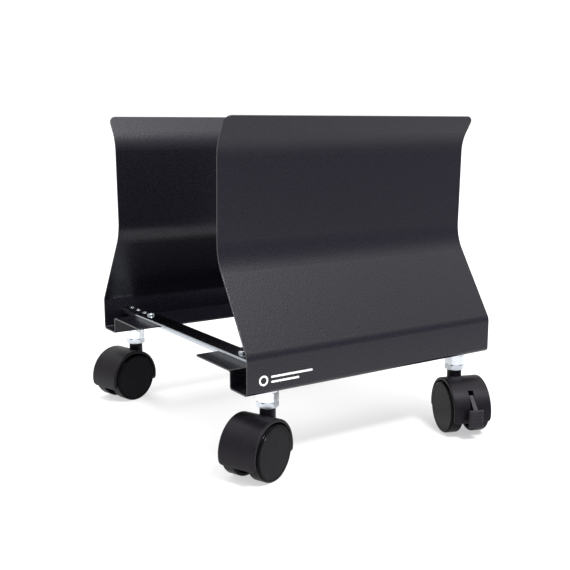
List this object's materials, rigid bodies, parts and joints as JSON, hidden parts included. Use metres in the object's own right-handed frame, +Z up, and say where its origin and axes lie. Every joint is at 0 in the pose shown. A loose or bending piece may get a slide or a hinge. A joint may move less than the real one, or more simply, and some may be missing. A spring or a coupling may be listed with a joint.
{
  "type": "cpu holder",
  "caption": "Under-desk computer tower trolley: two bent sheet-metal side panels with outward lips, joined by perforated crossbars, on twin-wheel swivel casters, the rear ones braked.",
  "frame": {"origin": "on the floor, at the centre of the rectangle of the four caster stems", "axes": "+X across the holder towards its right-hand panel, -Y its front, along the panels, +Z up"},
  "size_m": [0.3808, 0.3003, 0.3057],
  "materials": {
    "powder_coat": "fine-textured semi-gloss powder coat, charcoal black",
    "bar_zinc": "bright zinc plating over rolled strip",
    "zinc_plate": "bright zinc plating",
    "plain_steel": "turned steel",
    "hood_nylon": "fine-grained satin black nylon",
    "wheel_nylon": "satin black nylon with a polished bevel",
    "lever_nylon": "satin black nylon"
  },
  "bodies": {
    "frame": {"left_side_panel": "powder_coat", "right_side_panel": "powder_coat", "front_crossbar": "bar_zinc", "rear_crossbar": "bar_zinc", "crossbar_screws": "zinc_plate", "crossbar_washers": "zinc_plate", "crossbar_nuts": "zinc_plate", "stem_nuts": "zinc_plate", "stem_washers": "zinc_plate", "stem_lock_nuts": "zinc_plate", "stem_lock_washers": "zinc_plate", "stem_clips": "plain_steel", "front_right_caster_stem": "zinc_plate", "front_left_caster_stem": "zinc_plate", "rear_right_caster_stem": "zinc_plate", "rear_left_caster_stem": "zinc_plate"},
    "front_right_hood": {"front_right_caster_hood": "hood_nylon", "front_right_caster_axle": "plain_steel"},
    "front_right_wheel_a": {"front_right_caster_wheel_a": "wheel_nylon"},
    "front_right_wheel_b": {"front_right_caster_wheel_b": "wheel_nylon"},
    "front_left_hood": {"front_left_caster_hood": "hood_nylon", "front_left_caster_axle": "plain_steel"},
    "front_left_wheel_a": {"front_left_caster_wheel_a": "wheel_nylon"},
    "front_left_wheel_b": {"front_left_caster_wheel_b": "wheel_nylon"},
    "rear_right_hood": {"rear_right_caster_hood": "hood_nylon", "rear_right_caster_axle": "plain_steel", "rear_right_lever_pin": "plain_steel"},
    "rear_right_wheel_a": {"rear_right_caster_wheel_a": "wheel_nylon"},
    "rear_right_wheel_b": {"rear_right_caster_wheel_b": "wheel_nylon"},
    "rear_right_brake_lever": {"rear_right_brake_lever": "lever_nylon"},
    "rear_left_hood": {"rear_left_caster_hood": "hood_nylon", "rear_left_caster_axle": "plain_steel", "rear_left_lever_pin": "plain_steel"},
    "rear_left_wheel_a": {"rear_left_caster_wheel_a": "wheel_nylon"},
    "rear_left_wheel_b": {"rear_left_caster_wheel_b": "wheel_nylon"},
    "rear_left_brake_lever": {"rear_left_brake_lever": "lever_nylon"}
  },
  "joints": [
    {"name": "front_right_swivel", "type": "hinge", "parent": "frame", "child": "front_right_hood", "pos_m": [0.1374, -0.1103, 0.045], "axis": [0, 0, 1], "continuous": true},
    {"name": "front_right_wheel_a_spin", "type": "hinge", "parent": "front_right_hood", "child": "front_right_wheel_a", "pos_m": [0.1567, -0.12098, 0.025], "axis": [0.9252, 0.3795, 0], "continuous": true},
    {"name": "front_right_wheel_b_spin", "type": "hinge", "parent": "front_right_hood", "child": "front_right_wheel_b", "pos_m": [0.13116, -0.13145, 0.025], "axis": [0.9252, 0.3795, 0], "continuous": true},
    {"name": "front_left_swivel", "type": "hinge", "parent": "frame", "child": "front_left_hood", "pos_m": [-0.1374, -0.1103, 0.045], "axis": [0, 0, 1], "continuous": true},
    {"name": "front_left_wheel_a_spin", "type": "hinge", "parent": "front_left_hood", "child": "front_left_wheel_a", "pos_m": [-0.11944, -0.12309, 0.025], "axis": [0.9622, 0.2723, 0], "continuous": true},
    {"name": "front_left_wheel_b_spin", "type": "hinge", "parent": "front_left_hood", "child": "front_left_wheel_b", "pos_m": [-0.146, -0.13061, 0.025], "axis": [0.9622, 0.2723, 0], "continuous": true},
    {"name": "rear_right_swivel", "type": "hinge", "parent": "frame", "child": "rear_right_hood", "pos_m": [0.1374, 0.1103, 0.045], "axis": [0, 0, 1], "continuous": true},
    {"name": "rear_right_wheel_a_spin", "type": "hinge", "parent": "rear_right_hood", "child": "rear_right_wheel_a", "pos_m": [0.15826, 0.11746, 0.025], "axis": [0.3387, 0.9409, 0], "continuous": true},
    {"name": "rear_right_wheel_b_spin", "type": "hinge", "parent": "rear_right_hood", "child": "rear_right_wheel_b", "pos_m": [0.14891, 0.09149, 0.025], "axis": [0.3387, 0.9409, 0], "continuous": true},
    {"name": "rear_right_brake_lift", "type": "hinge", "parent": "rear_right_hood", "child": "rear_right_brake_lever", "pos_m": [0.16675, 0.09973, 0.027], "axis": [-0.3387, -0.9409, 0], "range_deg": [0, 18]},
    {"name": "rear_left_swivel", "type": "hinge", "parent": "frame", "child": "rear_left_hood", "pos_m": [-0.1374, 0.1103, 0.045], "axis": [0, 0, 1], "continuous": true},
    {"name": "rear_left_wheel_a_spin", "type": "hinge", "parent": "rear_left_hood", "child": "rear_left_wheel_a", "pos_m": [-0.14891, 0.09149, 0.025], "axis": [0.3387, -0.9409, 0], "continuous": true},
    {"name": "rear_left_wheel_b_spin", "type": "hinge", "parent": "rear_left_hood", "child": "rear_left_wheel_b", "pos_m": [-0.15826, 0.11746, 0.025], "axis": [0.3387, -0.9409, 0], "continuous": true},
    {"name": "rear_left_brake_lift", "type": "hinge", "parent": "rear_left_hood", "child": "rear_left_brake_lever", "pos_m": [-0.16675, 0.09973, 0.027], "axis": [-0.3387, 0.9409, 0], "range_deg": [0, 18]}
  ]
}
